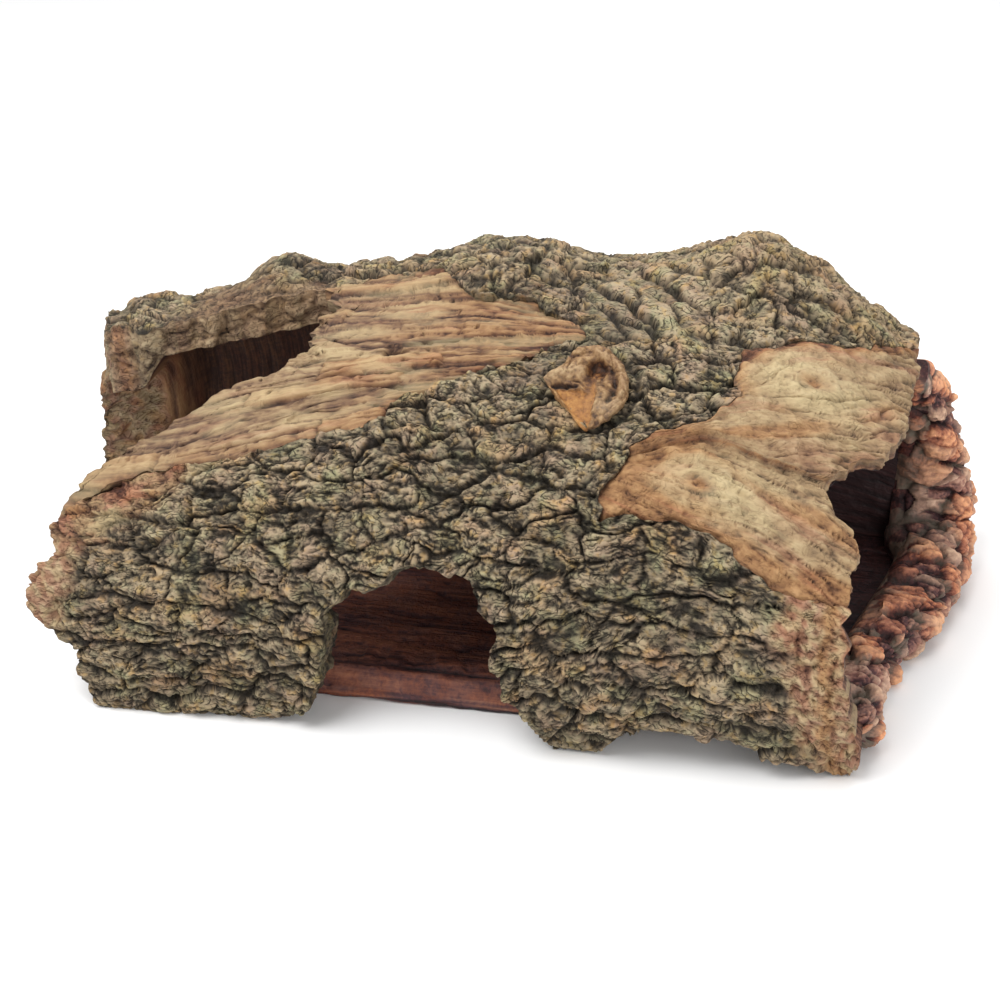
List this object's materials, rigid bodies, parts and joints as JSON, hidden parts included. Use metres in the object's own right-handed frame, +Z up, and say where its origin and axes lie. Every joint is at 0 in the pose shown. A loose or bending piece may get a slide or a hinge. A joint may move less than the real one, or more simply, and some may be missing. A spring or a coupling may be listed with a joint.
{
  "type": "resin cave ornament",
  "caption": "Hollow broken log cave for an aquarium floor, with a front doorway, peeled-wood roof, a hole in the roof and open ends.",
  "frame": {"origin": "centre of the footprint's bounding box, on the ground plane it stands on", "axes": "+X along the log towards the broken open end with the lumpy rim, +Y from the doorway side towards the back wall, +Z up"},
  "size_m": [0.2854, 0.1582, 0.1143],
  "materials": {
    "base_floor": "matte painted resin, dark red-brown with wood grain",
    "front_wall": "matte painted resin, khaki bark plates over dark green-black furrows",
    "rear_wall": "matte painted resin, khaki bark plates over dark green-black furrows",
    "left_roof_panel": "matte painted resin, tan peeled wood with orange-pink grain",
    "right_roof_panel": "matte painted resin, tan peeled wood with knots and orange edges",
    "crown_bark": "matte painted resin, khaki bark over dark furrows",
    "branch_stub": "matte painted resin, orange cut wood",
    "left_end_rim": "matte painted resin, grey-brown weathered wood and bark lumps",
    "right_end_rim": "matte painted resin, red-brown lumps with orange tops"
  },
  "bodies": {
    "root": {"base_floor": "base_floor", "front_wall": "front_wall", "rear_wall": "rear_wall", "left_roof_panel": "left_roof_panel", "right_roof_panel": "right_roof_panel", "crown_bark": "crown_bark", "branch_stub": "branch_stub", "left_end_rim": "left_end_rim", "right_end_rim": "right_end_rim"}
  },
  "joints": []
}
